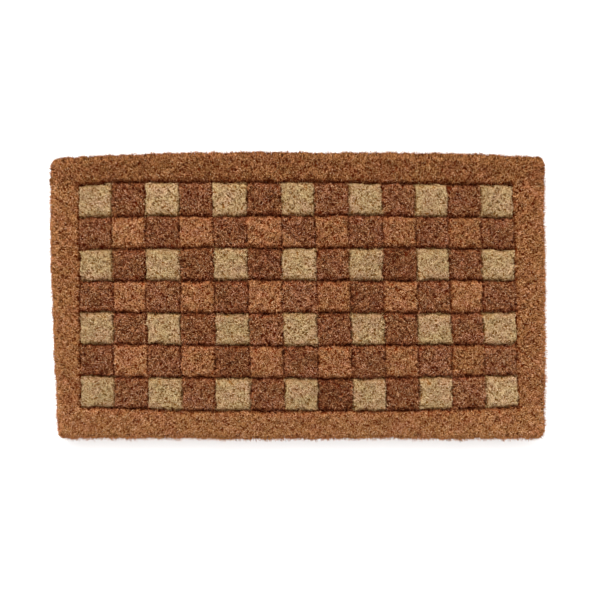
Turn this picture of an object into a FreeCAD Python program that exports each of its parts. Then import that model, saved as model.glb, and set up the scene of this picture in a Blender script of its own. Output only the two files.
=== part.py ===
"""A hand-woven coir door mat: a woven base of coir yarns, a cut pile of coir tufts in a check
of square blocks, a plain pile border, and plaited ends sewn on with twine.

Frame: X runs along the mat's length, Y across its width from front to back, Z up. The origin is
the middle of the underside, which lies on the floor. All sizes are in millimetres.
"""

import FreeCAD, Part
import os
import Sketcher

Vector = FreeCAD.Vector

# Every driving dimension: (alias, value, meaning).
DIMENSIONS = [
    ("mat_length", 700.0, "over the pile of the border, along X"),
    ("mat_width", 405.0, "over the pile of the border, along Y"),
    ("columns", 13, "blocks along X"),
    ("rows", 7, "blocks along Y"),
    ("cell_length", 47.5, "pitch of the blocks along X"),
    ("cell_width", 45.5, "pitch of the blocks along Y"),
    ("yarns_per_cell", 4, "weft yarns to a block's length, and chain yarns to its width"),
    ("weft_count", 54, "weft yarns in the base"),
    ("weft_thick", 4.2, "height of a weft yarn, pressed flat by the weave"),
    ("weft_wide", 8.4, "width of a weft yarn"),
    ("chain_count", 33, "chain yarns in the base"),
    ("chain_thick", 3.8, "height of a chain yarn"),
    ("chain_wide", 7.0, "width of a chain yarn, which is a pair of plies side by side"),
    ("yarn_round", 1.6, "radius of a pressed yarn's edges"),
    ("pile_height", 27.0, "from the base to the sheared top"),
    ("pile_overhang", 6.0, "how far the pile spreads past the woven base all round"),
    ("bevel_across", 3.0, "half the width of a groove between two rows"),
    ("bevel_along", 1.8, "half the width of a groove between two columns"),
    ("bevel_depth", 7.0, "depth of the grooves cut into the pile"),
    ("edge_round", 9.0, "rounding of the pile along the mat's outer edge"),
    ("corner_round", 13.0, "rounding of the mat's corners, seen from above"),
    ("rope_wide", 8.0, "width of the rope that closes each end of the weave"),
    ("selvedge_wide", 9.0, "width of the rope in each long side"),
    ("braid_wide", 9.0, "width of the plaited braid at each end"),
    ("rope_round", 2.0, "radius of a rope's or a braid's edges"),
    ("twine_thick", 1.6, "thickness of the twine that sews the braid on"),
    ("twine_wide", 2.2, "width of the twine where it is pulled flat"),
]

BASE = "(Sheet.weft_thick + Sheet.chain_thick)"
HEIGHT = f"({BASE} + Sheet.pile_height)"
SHOULDER = f"({HEIGHT} - Sheet.bevel_depth)"
FIELD_LENGTH = "(Sheet.columns * Sheet.cell_length)"
FIELD_WIDTH = "(Sheet.rows * Sheet.cell_width)"
BORDER_LENGTH = f"((Sheet.mat_length - {FIELD_LENGTH}) / 2)"
BORDER_WIDTH = f"((Sheet.mat_width - {FIELD_WIDTH}) / 2)"
WEFT_PITCH = "(Sheet.cell_length / Sheet.yarns_per_cell)"
CHAIN_PITCH = "(Sheet.cell_width / Sheet.yarns_per_cell)"
# Half the base's length, then the faces of the braid and the end rope, going inwards.
BASE_END = "(Sheet.mat_length / 2 - Sheet.pile_overhang)"
BRAID_OUTER = f"({BASE_END} - Sheet.twine_thick)"
BRAID_INNER = f"({BRAID_OUTER} - Sheet.braid_wide)"
ROPE_INNER = f"({BRAID_INNER} - Sheet.rope_wide)"
ROPE_THICK = f"({BASE} - 2 * Sheet.twine_thick)"
BASE_SIDE = "(Sheet.mat_width / 2 - Sheet.pile_overhang)"
SELVEDGE_INNER = f"({BASE_SIDE} - Sheet.selvedge_wide)"

document = FreeCAD.newDocument("coir_mat")
sheet = document.addObject("Spreadsheet::Sheet", "Sheet")
for line, (alias, value, meaning) in enumerate(DIMENSIONS, start=1):
    sheet.set(f"A{line}", str(value))
    sheet.setAlias(f"A{line}", alias)
    sheet.set(f"B{line}", meaning)
document.recompute()

parts = []


def new_body(label):
    """A body for one sub-part, whose label names its file."""
    body = document.addObject("PartDesign::Body", label)
    body.Label = label
    parts.append(body)
    return body


def origin_feature(body, role):
    return next(f for f in body.Origin.OriginFeatures if f.Role == role)


def new_sketch(body, name, plane, lift="0"):
    """An empty sketch on one of the body's own planes, moved along the plane's normal by lift."""
    sketch = body.newObject("Sketcher::SketchObject", name)
    sketch.AttachmentSupport = (origin_feature(body, plane), [""])
    sketch.MapMode = "FlatFace"
    sketch.setExpression(".AttachmentOffset.Base.z", lift)
    return sketch


def drive(sketch, name, constraint, formula):
    """Adds a constraint whose value follows a formula of the sheet's dimensions."""
    index = sketch.addConstraint(constraint)
    sketch.renameConstraint(index, name)
    sketch.setExpression(f"Constraints.{name}", formula)


def add_loop(sketch, corners):
    """Adds a closed loop of straight edges and returns the index of its first edge."""
    first = sketch.GeometryCount
    count = len(corners)
    for i, corner in enumerate(corners):
        sketch.addGeometry(Part.LineSegment(corner, corners[(i + 1) % count]), False)
    for i in range(count):
        sketch.addConstraint(
            Sketcher.Constraint("Coincident", first + i, 2, first + (i + 1) % count, 1)
        )
    return first


def add_rectangle(sketch, name, wide, tall, left, bottom):
    """Adds a rectangle given by formulas for its width, its height and its lower left corner."""
    corners = [Vector(1, 1), Vector(9, 1), Vector(9, 5), Vector(1, 5)]
    first = add_loop(sketch, corners)
    for edge, direction in enumerate(("Horizontal", "Vertical", "Horizontal", "Vertical")):
        sketch.addConstraint(Sketcher.Constraint(direction, first + edge))
    drive(sketch, f"{name}_wide", Sketcher.Constraint("DistanceX", first, 1, first, 2, 8.0), wide)
    upright = Sketcher.Constraint("DistanceY", first + 1, 1, first + 1, 2, 4.0)
    drive(sketch, f"{name}_tall", upright, tall)
    # Distances from the sketch's origin keep their sign, so a corner may lie on either side of it.
    drive(sketch, f"{name}_left", Sketcher.Constraint("DistanceX", -1, 1, first, 1, 1.0), left)
    drive(sketch, f"{name}_bottom", Sketcher.Constraint("DistanceY", -1, 1, first, 1, 1.0), bottom)


def centred(size):
    return f"-({size}) / 2"


def new_pad(body, name, sketch, length, symmetric=False):
    pad = body.newObject("PartDesign::Pad", name)
    pad.Profile = sketch
    pad.SideType = "Symmetric" if symmetric else "One side"
    pad.setExpression("Length", length)
    return pad


def new_pattern(body, name, features, axis, span, count):
    """Repeats features along an axis: count places over a span, both given by formulas."""
    pattern = body.newObject("PartDesign::LinearPattern", name)
    pattern.Originals = features
    pattern.Direction = (origin_feature(body, axis), [""])
    pattern.setExpression("Length", span)
    pattern.setExpression("Occurrences", count)
    body.Tip = pattern
    return pattern


def edges_where(shape, test):
    """The names of the edges whose bounding box passes a test."""
    return [f"Edge{i}" for i, edge in enumerate(shape.Edges, start=1) if test(edge.BoundBox)]


def round_edges(body, name, base, test, radius):
    """Fillets the edges of a feature that pass a test."""
    document.recompute()
    names = edges_where(base.Shape, test)
    if not names:
        raise ValueError(f"{body.Label}: {name} found no edges")
    fillet = body.newObject("PartDesign::Fillet", name)
    fillet.Base = (base, names)
    fillet.setExpression("Radius", radius)
    body.Tip = fillet
    return fillet


def place(body, along_x="0", along_y="0"):
    body.setExpression(".Placement.Base.x", along_x)
    body.setExpression(".Placement.Base.y", along_y)


def near(value, target):
    return abs(value - target) < 1e-4


def bar(label, axis, length, wide, thick, lift, radius):
    """A straight pressed yarn or rope, centred on the origin and lying along X or Y."""
    body = new_body(label)
    sketch = new_sketch(body, f"{label}_section", "YZ_Plane" if axis == "X" else "XZ_Plane")
    add_rectangle(sketch, "section", wide, thick, centred(wide), lift)
    pad = new_pad(body, f"{label}_pad", sketch, length, symmetric=True)
    if axis == "X":
        lengthwise = lambda box: box.XLength > 10 * max(box.YLength, box.ZLength)
    else:
        lengthwise = lambda box: box.YLength > 10 * max(box.XLength, box.ZLength)
    return body, pad, round_edges(body, f"{label}_rounding", pad, lengthwise, radius)


def yarns(label, axis, pitch, count, length, wide, thick, lift):
    """A row of parallel yarns: the first is at the origin, and the body is moved to one side."""
    body, pad, fillet = bar(label, axis, length, wide, thick, lift, "Sheet.yarn_round")
    across = "Y_Axis" if axis == "X" else "X_Axis"
    span = f"({count} - 1) * {pitch}"
    new_pattern(body, f"{label}_row", [pad, fillet], across, span, count)
    start = centred(span)
    place(body, "0", start) if axis == "X" else place(body, start, "0")
    return body


def woven_base():
    """The weft lies under the chain. The weave's waves are left out, so each layer is straight."""
    weft_length = f"2 * {SELVEDGE_INNER}"
    yarns("weft_yarns", "Y", WEFT_PITCH, "Sheet.weft_count", weft_length,
          "Sheet.weft_wide", "Sheet.weft_thick", "0")
    yarns("chain_yarns", "X", CHAIN_PITCH, "Sheet.chain_count", f"2 * {ROPE_INNER}",
          "Sheet.chain_wide", "Sheet.chain_thick", "Sheet.weft_thick")


def selvedge_ropes():
    """The rope in each long side, which the weft turns round."""
    for side, sign in (("front", "-"), ("back", "")):
        body = bar(f"{side}_selvedge_rope", "X", f"2 * ({ROPE_INNER} - Sheet.twine_thick)",
                   "Sheet.selvedge_wide", BASE, "0", "Sheet.rope_round")[0]
        place(body, "0", f"{sign}({BASE_SIDE} - Sheet.selvedge_wide / 2)")


def end_finish():
    """At each end: the rope that the chain turns round, a braid beside it, and its stitches."""
    for side, sign in (("left", "-"), ("right", "")):
        rope = bar(f"{side}_end_rope", "Y", f"2 * {BASE_SIDE}", "Sheet.rope_wide",
                   ROPE_THICK, "Sheet.twine_thick", "Sheet.rope_round")[0]
        place(rope, f"{sign}({ROPE_INNER} + Sheet.rope_wide / 2)")
        braid = bar(f"{side}_end_braid", "Y", f"2 * {BASE_SIDE}", "Sheet.braid_wide",
                    ROPE_THICK, "Sheet.twine_thick", "Sheet.rope_round")[0]
        place(braid, f"{sign}({BRAID_INNER} + Sheet.braid_wide / 2)")
        stitches(f"{side}_braid_stitches", sign)


def stitches(label, sign):
    """Loops of twine round the end rope and the braid, one between each two chain yarns."""
    body = new_body(label)
    sketch = new_sketch(body, f"{label}_section", "XZ_Plane")
    held = "(Sheet.rope_wide + Sheet.braid_wide)"
    loop = f"({held} + 2 * Sheet.twine_thick)"
    add_rectangle(sketch, "outside", loop, BASE, centred(loop), "0")
    add_rectangle(sketch, "inside", held, ROPE_THICK, centred(held), "Sheet.twine_thick")
    pad = new_pad(body, f"{label}_pad", sketch, "Sheet.twine_wide", symmetric=True)
    count = "(Sheet.chain_count - 1)"
    span = f"({count} - 1) * {CHAIN_PITCH}"
    new_pattern(body, f"{label}_row", [pad], "Y_Axis", span, count)
    place(body, f"{sign}({BRAID_INNER} + (Sheet.braid_wide - Sheet.rope_wide) / 2)", centred(span))


def pile_row(number, colour, first_column):
    """The blocks of one colour in one row, every second column, with bevelled upper edges."""
    label = f"row_{number}_{colour}_pile"
    body = new_body(label)
    foot = new_sketch(body, f"{label}_foot", "XY_Plane", BASE)
    shoulder = new_sketch(body, f"{label}_shoulder", "XY_Plane", SHOULDER)
    crown = new_sketch(body, f"{label}_crown", "XY_Plane", HEIGHT)
    crown_long = "(Sheet.cell_length - 2 * Sheet.bevel_along)"
    crown_wide = "(Sheet.cell_width - 2 * Sheet.bevel_across)"
    for sketch, long, wide in (
        (foot, "Sheet.cell_length", "Sheet.cell_width"),
        (shoulder, "Sheet.cell_length", "Sheet.cell_width"),
        (crown, crown_long, crown_wide),
    ):
        add_rectangle(sketch, "block", long, wide, centred(long), centred(wide))
    lower = new_pad(body, f"{label}_lower", foot, f"{SHOULDER} - {BASE}")
    upper = body.newObject("PartDesign::AdditiveLoft", f"{label}_upper")
    upper.Profile = shoulder
    upper.Sections = [crown]
    count = int(sheet.columns) // 2 + (first_column % 2)
    span = f"{count - 1} * 2 * Sheet.cell_length"
    new_pattern(body, f"{label}_blocks", [lower, upper], "X_Axis", span, str(count))
    place(
        body,
        f"({first_column} - (Sheet.columns + 1) / 2) * Sheet.cell_length",
        f"((Sheet.rows + 1) / 2 - {number}) * Sheet.cell_width",
    )


def pile_blocks():
    """Odd rows alternate beige and brown, even rows brown and tan. Row 1 is at the back."""
    for number in range(1, int(sheet.rows) + 1):
        colours = ("beige", "brown") if number % 2 else ("brown", "tan")
        for first_column, colour in enumerate(colours, start=1):
            pile_row(number, colour, first_column)


def add_bevel_triangle(sketch, across):
    """The triangle between the groove's sloping side, the strip's inner face and its top."""
    first = add_loop(sketch, [Vector(0, 20), Vector(4, 30), Vector(0, 30)])
    sketch.addConstraint(Sketcher.Constraint("Horizontal", first + 1))
    sketch.addConstraint(Sketcher.Constraint("Vertical", first + 2))
    sketch.addConstraint(Sketcher.Constraint("PointOnObject", first, 1, -2))
    drive(sketch, "across", Sketcher.Constraint("DistanceX", first + 1, 2, first + 1, 1, 4.0), across)
    drive(sketch, "top", Sketcher.Constraint("DistanceY", -1, 1, first + 2, 1, 30.0), HEIGHT)
    drive(sketch, "depth", Sketcher.Constraint("DistanceY", first + 2, 2, first + 2, 1, 10.0),
          "Sheet.bevel_depth")


def long_border(label, sign):
    """The front or back strip, which runs the mat's whole length and holds two of its corners."""
    body = new_body(label)
    plan = new_sketch(body, f"{label}_plan", "XY_Plane", BASE)
    add_rectangle(plan, "strip", "Sheet.mat_length", BORDER_WIDTH, centred("Sheet.mat_length"), "0")
    pad = new_pad(body, f"{label}_pad", plan, "Sheet.pile_height")
    # The strip is drawn with its inner side at Y 0. The wedge cuts that side's upper edge.
    wedge = new_sketch(body, f"{label}_wedge", "YZ_Plane")
    add_bevel_triangle(wedge, "Sheet.bevel_across")
    cut = body.newObject("PartDesign::Pocket", f"{label}_bevel")
    cut.Profile = wedge
    cut.SideType = "Symmetric"
    cut.setExpression("Length", FIELD_LENGTH)
    half = sheet.mat_length / 2
    outer = (sheet.mat_width - sheet.rows * sheet.cell_width) / 2
    corner = lambda box: near(abs(box.XMin), half) and near(box.XLength, 0) and near(
        box.YMin, outer) and box.ZLength > 1
    corners = round_edges(body, f"{label}_corners", cut, corner, "Sheet.corner_round")
    top = float(sheet.weft_thick + sheet.chain_thick + sheet.pile_height)
    outline = lambda box: near(box.ZMin, top) and near(box.ZMax, top) and (
        near(box.YMax, outer) or near(max(box.XMax, -box.XMin), half)) and not near(box.YMax, 0)
    round_edges(body, f"{label}_rounding", corners, outline, "Sheet.edge_round")
    turn = 180 if sign == "-" else 0
    body.Placement = FreeCAD.Placement(Vector(), FreeCAD.Rotation(Vector(0, 0, 1), turn))
    place(body, "0", f"{sign}{FIELD_WIDTH} / 2")


def short_border(label, sign):
    """The left or right strip, between the front and back strips."""
    body = new_body(label)
    plan = new_sketch(body, f"{label}_plan", "XY_Plane", BASE)
    add_rectangle(plan, "strip", BORDER_LENGTH, FIELD_WIDTH, "0", centred(FIELD_WIDTH))
    pad = new_pad(body, f"{label}_pad", plan, "Sheet.pile_height")
    # The strip is drawn with its inner side at X 0. The XZ plane's normal points along -Y.
    wedge = new_sketch(body, f"{label}_wedge", "XZ_Plane")
    add_bevel_triangle(wedge, "Sheet.bevel_along")
    cut = body.newObject("PartDesign::Pocket", f"{label}_bevel")
    cut.Profile = wedge
    cut.SideType = "Symmetric"
    cut.setExpression("Length", FIELD_WIDTH)
    outer = (sheet.mat_length - sheet.columns * sheet.cell_length) / 2
    top = float(sheet.weft_thick + sheet.chain_thick + sheet.pile_height)
    outline = lambda box: near(box.ZMin, top) and near(box.XMin, outer) and box.YLength > 1
    round_edges(body, f"{label}_rounding", cut, outline, "Sheet.edge_round")
    turn = 180 if sign == "-" else 0
    body.Placement = FreeCAD.Placement(Vector(), FreeCAD.Rotation(Vector(0, 0, 1), turn))
    place(body, f"{sign}{FIELD_LENGTH} / 2")


woven_base()
selvedge_ropes()
end_finish()
pile_blocks()
for side, sign in (("front", "-"), ("back", "")):
    long_border(f"{side}_border_pile", sign)
for side, sign in (("left", "-"), ("right", "")):
    short_border(f"{side}_border_pile", sign)
document.recompute()

for item in document.Objects:
    if "Invalid" in item.State or "Error" in item.State:
        raise RuntimeError(f"{item.Name} failed: {item.State}")

os.makedirs("parts", exist_ok=True)
for body in parts:
    shape = body.Shape
    if shape.isNull() or not shape.isValid() or not shape.Solids:
        raise RuntimeError(f"{body.Label} has no valid solid")
    shape.exportStep(f"parts/{body.Label}.step")
    box = shape.BoundBox
    print(
        f"{body.Label}: {len(shape.Solids)} solids, {shape.Volume / 1000:.1f} cm3, "
        f"x {box.XMin:.2f}..{box.XMax:.2f}, y {box.YMin:.2f}..{box.YMax:.2f}, "
        f"z {box.ZMin:.2f}..{box.ZMax:.2f}"
    )
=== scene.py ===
# %% [markdown]
# # A hand-woven coir door mat
#
# A brush mat is a heavy weave of coir yarn with a thick brush of coir tufts standing up from it.
# The tufts are sheared level, and grooves are cut into the brush along the edges of its blocks.
# This lesson grows that brush fibre by fibre. The maker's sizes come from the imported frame, and
# the finished pieces take the places of its plain blocks and bars.

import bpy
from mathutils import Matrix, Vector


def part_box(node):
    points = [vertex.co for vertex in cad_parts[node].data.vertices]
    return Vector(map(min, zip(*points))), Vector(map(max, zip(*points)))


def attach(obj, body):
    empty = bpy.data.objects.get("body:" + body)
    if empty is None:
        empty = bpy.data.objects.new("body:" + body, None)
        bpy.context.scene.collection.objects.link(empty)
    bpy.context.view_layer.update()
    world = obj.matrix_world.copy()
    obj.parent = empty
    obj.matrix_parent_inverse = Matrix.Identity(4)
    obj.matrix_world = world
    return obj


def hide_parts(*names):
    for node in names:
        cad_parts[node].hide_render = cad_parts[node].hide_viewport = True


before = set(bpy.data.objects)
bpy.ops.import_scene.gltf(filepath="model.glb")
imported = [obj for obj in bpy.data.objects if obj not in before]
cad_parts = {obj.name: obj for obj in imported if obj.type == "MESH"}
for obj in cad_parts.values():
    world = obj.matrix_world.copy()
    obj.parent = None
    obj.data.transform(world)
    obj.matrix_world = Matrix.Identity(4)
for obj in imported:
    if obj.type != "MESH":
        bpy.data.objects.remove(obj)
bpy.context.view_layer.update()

# %% Tools
import math

import bmesh
import bpy
import numpy as np
from mathutils import Vector

MM = 0.001
UP = Vector((0, 0, 1))

# %% [markdown]
# ## Sizes read from the frame
#
# The blocks lie in a check of columns and rows. The nodes say where the check starts and ends,
# so the pitch of the blocks is worked out from their boxes, and nothing is typed in twice.

# %% Read the sizes
COLUMNS, ROWS = 13, 7
beige_low, beige_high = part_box("row_1_beige_pile")
_, back_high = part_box("back_border_pile")
FIELD_X = beige_high[0]
FIELD_Y = beige_high[1]
HALF_X = back_high[0]
HALF_Y = back_high[1]
TOP = beige_high[2]
BASE = beige_low[2]
CELL_X = 2 * FIELD_X / COLUMNS
CELL_Y = 2 * FIELD_Y / ROWS
print(f"blocks {CELL_X / MM:.1f} x {CELL_Y / MM:.1f} mm, pile {(TOP - BASE) / MM:.1f} mm")

# %% [markdown]
# ## The hand in it
#
# Nothing on a hand-woven mat is quite straight. The rows swell a little in the middle of the mat,
# the columns drift to one side, the left end leans in towards the front, and the shears wander off
# the line. All pieces are laid out straight first and then pass through one smooth function, so
# they stay together.

# %% The hand-made warp
SWELL = 3.0 * MM
# How much of the swell each line across the mat takes: front edge, front row, middle, back.
SWELL_LINES = ((-1.0, -0.79, 0.0, 0.79, 1.0), (-0.1, -1.3, 0.0, 1.0, 1.0))
# How far each line across the mat was beaten towards the back, in mm.
BEAT_LINES = ((-1.0, -0.79, -0.1, 0.56, 0.79, 1.0), (0.0, -1.5, -1.4, -0.75, 0.6, 0.0))
SWERVE = 3.2 * MM           # where the back groove swerves outward, near the left end
# One corner is pulled in: how far in from the end, how far in from the back, and over what length.
CORNER_PULL = (4.0 * MM, 3.6 * MM, 55.0 * MM)
LEFT_LEAN = 8.6 * MM
RIGHT_LEAN = -1.2 * MM
RIGHT_GROWTH = 3.0 * MM
FIELD_LEAN = 4.3 * MM
# Waves are (size in mm, wavelength along X and along Y in mm, phase).
HAND_WAVES = (
    (0.55, 155.0, 310.0, 0.4),
    (0.40, 83.0, -140.0, 2.1),
    (0.34, 47.0, 66.0, 4.0),
    (0.44, 25.0, -31.0, 1.1),
    (0.34, 16.0, 21.0, 5.2),
)
TUFT_WAVES = (
    (0.60, 21.0, 34.0, 0.7),
    (0.50, 14.0, -25.0, 2.9),
    (0.35, 9.0, 11.0, 5.1),
)


def wave(waves, x, y, shift):
    """A smooth wander, the sum of a few sine waves, in metres."""
    total = 0.0
    for size, along_x, along_y, phase in waves:
        turn = x / (along_x * MM) + y / (along_y * MM)
        total = total + size * MM * np.sin(2 * math.pi * turn + phase + shift)
    return total


def by_hand(x, y):
    """Where a point of the straight layout lies on the hand-made mat."""
    across = y / HALF_Y
    along = x / HALF_X
    swell = SWELL * np.interp(across, *SWELL_LINES) * (1 - 2 * along**2)
    beat = np.interp(across, *BEAT_LINES) * MM
    beat = beat + (SWERVE * np.exp(-((along + 0.6) / 0.25) ** 2)
                   * np.interp(across, (0.58, 0.79, 1.0), (0, 1, 0)))
    # The lean grows over the left border, and turns the other way over the right one.
    left_edge = np.clip((-x - FIELD_X) / (HALF_X - FIELD_X), 0, 1)
    right_edge = np.clip((x - FIELD_X) / (HALF_X - FIELD_X), 0, 1)
    slope = FIELD_LEAN + left_edge * (LEFT_LEAN - FIELD_LEAN) + right_edge * (RIGHT_LEAN - FIELD_LEAN)
    pull_x, pull_y, pull_over = CORNER_PULL
    pulled = np.exp(-(np.hypot(x + HALF_X, y - HALF_Y) / pull_over) ** 2)
    drift = (1.3 + 3.7 * np.sin(2.6 * along + 0.5)) * MM * (1 - left_edge - right_edge)
    lean = drift + right_edge * RIGHT_GROWTH - across * slope
    new_x = x + lean + pull_x * pulled + wave(HAND_WAVES, x, y, 0.0)
    new_y = y + swell + beat - pull_y * pulled + wave(HAND_WAVES, y, x, 1.3)
    return new_x, new_y


corner = by_hand(-HALF_X, HALF_Y)
print(f"back left corner moves {(corner[0] + HALF_X) / MM:.1f}, {(corner[1] - HALF_Y) / MM:.1f} mm")


# %% [markdown]
# ## Camera and light
#
# The mat is seen from nearly straight above. A broad soft light hangs over the back edge, so the
# grooves that run along the mat keep one dark wall and one bright one.

# %% Camera and lights
CAMERA_TILT = math.radians(2.0)
CAMERA_FAR = 1.50
VIEW_WIDTH = 0.854
FRAME_CENTRE = Vector((0.0035, -0.0065, TOP))

scene = bpy.context.scene
scene.view_settings.view_transform = "Standard"

camera_data = bpy.data.cameras.new("camera")
camera_data.sensor_width = 36
camera_data.lens = 36 * CAMERA_FAR / VIEW_WIDTH
camera = bpy.data.objects.new("camera", camera_data)
scene.collection.objects.link(camera)
view_back = Vector((0, -math.sin(CAMERA_TILT), math.cos(CAMERA_TILT)))
camera.location = FRAME_CENTRE + view_back * CAMERA_FAR
camera.rotation_euler = (CAMERA_TILT, 0, 0)
scene.camera = camera


def add_light(name, place, size, watts, colour):
    """A square soft light that looks at the middle of the mat."""
    light = bpy.data.lights.new(name, "AREA")
    light.shape = "SQUARE"
    light.size = size
    light.energy = watts
    light.color = colour
    lamp = bpy.data.objects.new(name, light)
    lamp.location = place
    lamp.rotation_euler = (-Vector(place)).to_track_quat("-Z", "Y").to_euler()
    scene.collection.objects.link(lamp)


add_light("sky_window", (-1.5, 4.5, 4.5), 3.0, 555.0, (1.0, 0.985, 0.96))
add_light("front_fill", (2.4, -4.8, 4.2), 4.8, 95.0, (0.96, 0.98, 1.0))

world = bpy.data.worlds.new("studio")
world.use_nodes = True
world.node_tree.nodes["Background"].inputs["Color"].default_value = (1, 1, 1, 1)
world.node_tree.nodes["Background"].inputs["Strength"].default_value = 1.24
scene.world = world
print(f"lens {camera_data.lens:.1f} mm at {CAMERA_FAR} m")

# %% [markdown]
# ## Writing a finish
#
# A finish is a small tree of shader nodes. The class below wraps a socket so that the tree can be
# written as ordinary sums, and one method adds any other node.

# %% Shader helpers
class Value:
    """A node's output that can be used in an expression."""

    def __init__(self, tree, socket):
        self.tree = tree
        self.socket = socket

    def calculate(self, operation, first, second):
        node = self.tree.nodes.new("ShaderNodeMath")
        node.operation = operation
        for place, term in zip(node.inputs, (first, second)):
            if isinstance(term, Value):
                self.tree.links.new(term.socket, place)
            else:
                place.default_value = term
        return Value(self.tree, node.outputs[0])

    def __add__(self, other):
        return self.calculate("ADD", self, other)

    __radd__ = __add__

    def __sub__(self, other):
        return self.calculate("SUBTRACT", self, other)

    def __rsub__(self, other):
        return self.calculate("SUBTRACT", other, self)

    def __mul__(self, other):
        return self.calculate("MULTIPLY", self, other)

    __rmul__ = __mul__

    def __pow__(self, other):
        return self.calculate("POWER", self, other)


class Finish:
    """A material, and the one method that adds a node to it."""

    def __init__(self, name):
        self.material = bpy.data.materials.new(name)
        self.material.use_nodes = True
        self.tree = self.material.node_tree
        self.tree.nodes.clear()

    def node(self, kind, settings=None, output=0, **sockets):
        """Adds a node. Its settings come first, then the values or links of its sockets."""
        node = self.tree.nodes.new(kind)
        for name, setting in (settings or {}).items():
            if name == "stops":
                self.set_ramp(node.color_ramp, setting)
            else:
                setattr(node, name, setting)
        for name, term in sockets.items():
            place = self.find_socket(node, name)
            if isinstance(term, Value):
                self.tree.links.new(term.socket, place)
            else:
                place.default_value = term
        return Value(self.tree, node.outputs[output])

    @staticmethod
    def find_socket(node, name):
        """A socket by its name with _ for each space, or by its number, as in socket_1."""
        if name.startswith("socket_"):
            return node.inputs[int(name[7:])]
        return node.inputs[name.replace("_", " ")]

    @staticmethod
    def set_ramp(ramp, stops):
        while len(ramp.elements) < len(stops):
            ramp.elements.new(0.5)
        for element, (place, colour) in zip(ramp.elements, stops):
            element.position = place
            element.color = (*colour, 1)

    def position(self):
        return self.node("ShaderNodeTexCoord", output=3)

    def noise(self, scale, detail=2.0, stretch=(1, 1, 1), roughness=0.5):
        """Noise over the object, from 0 to 1, stretched where a stretch is below 1."""
        place = self.node("ShaderNodeMapping", Vector=self.position(), Scale=stretch)
        return self.node("ShaderNodeTexNoise", Vector=place, Scale=scale, Detail=detail,
                         Roughness=roughness)

    def attribute(self, name):
        return self.node("ShaderNodeAttribute", {"attribute_name": name}, output=2)

    def mix(self, blend, factor, first, second):
        return self.node("ShaderNodeMix", {"data_type": "RGBA", "blend_type": blend}, output=2,
                         socket_0=factor, socket_6=first, socket_7=second)

    def grey(self, value):
        """A value as a grey colour, to multiply a colour by."""
        return self.node("ShaderNodeCombineColor", Red=value, Green=value, Blue=value)

    def surface(self, **sockets):
        """Ends the tree with a Principled shader, and gives back the material."""
        shader = self.node("ShaderNodeBsdfPrincipled", **sockets)
        output = self.tree.nodes.new("ShaderNodeOutputMaterial")
        self.tree.links.new(shader.socket, output.inputs["Surface"])
        return self.material


# %% [markdown]
# ## Finishes of the pile
#
# Coir is the brown fibre of coconut husk. No two fibres have the same colour, even in one dye
# bath: most are near the middle of a range, some are nearly black, and a few are straw-pale. Each
# fibre carries its own `shade`, and `along` runs from 0 at its root to 1 at its cut tip. The root
# is painted darker and redder than the tip, partly as dust and partly as painted shade. A slow
# noise makes one tuft differ from the next.

# %% Pile finishes
PILE_COLOURS = {
    # (darkest, dark, middle, light, palest fibre), in linear light
    "beige": ((0.20, 0.136, 0.064), (0.430, 0.302, 0.153), (0.622, 0.449, 0.236),
              (0.76, 0.565, 0.322), (0.84, 0.695, 0.475)),
    "brown": ((0.038, 0.011, 0.004), (0.152, 0.053, 0.018), (0.342, 0.131, 0.049),
              (0.51, 0.235, 0.104), (0.72, 0.46, 0.28)),
    "tan": ((0.076, 0.027, 0.009), (0.262, 0.109, 0.036), (0.500, 0.228, 0.089),
            (0.65, 0.338, 0.153), (0.81, 0.55, 0.32)),
    "border": ((0.066, 0.021, 0.007), (0.240, 0.092, 0.028), (0.468, 0.204, 0.074),
               (0.65, 0.322, 0.136), (0.84, 0.57, 0.32)),
}
RAMP_STOPS = (0.0, 0.25, 0.52, 0.80, 1.0)
TINT_STOPS = ((0.36, (1.0, 0.93, 1.0)), (0.50, (0.99, 0.98, 0.98)), (0.64, (0.98, 1.0, 0.94)))
# A root is painted this much darker and redder than its tip: partly dust, partly painted shade.
ROOT_DUST_AND_PAINTED_SHADE = {"beige": (0.61, 0.35, 0.14, 1), "brown": (0.56, 0.175, 0.030, 1),
             "tan": (0.56, 0.180, 0.032, 1), "border": (0.47, 0.165, 0.038, 1)}
# The bleached fibre differs less from one to the next than the dyed ones do.
SHADE_SPREAD = {"beige": 0.70, "brown": 0.96, "tan": 0.87, "border": 0.85}


def pile_finish(colour):
    finish = Finish(f"{colour}_coir_pile")
    cloud = finish.noise(70.0, detail=3.0)
    speck = finish.noise(420.0, detail=1.0)
    own = (finish.attribute("shade") - 0.5) * SHADE_SPREAD[colour] + 0.5
    shade = own + (cloud - 0.5) * 0.34 + (speck - 0.5) * 0.07
    fibre = finish.node("ShaderNodeValToRGB", {"stops": list(zip(RAMP_STOPS, PILE_COLOURS[colour]))},
                        Fac=shade)
    # The dye took redder in some tufts than in others, and the roots are painted darker and redder,
    # partly as dust and partly as painted shade.
    redness = finish.noise(48.0, detail=3.0, stretch=(1, 1.3, 1))
    tint = finish.node("ShaderNodeValToRGB", {"stops": TINT_STOPS}, Fac=redness)
    dyed = finish.mix("MULTIPLY", 1.0, fibre, tint)
    # The root colour, partly dust and partly painted shade, fades out towards the cut tip.
    depth = finish.attribute("along") ** 2.0
    root = finish.mix("MULTIPLY", 1.0, dyed, ROOT_DUST_AND_PAINTED_SHADE[colour])
    colour_out = finish.mix("MIX", depth, root, dyed)
    rough = 0.78 - (speck - 0.5) * 0.3
    return finish.surface(Base_Color=colour_out, Roughness=rough, Specular_IOR_Level=0.06)


PILE_FINISH = {colour: pile_finish(colour) for colour in PILE_COLOURS}
print("pile finishes:", ", ".join(PILE_FINISH))

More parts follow.
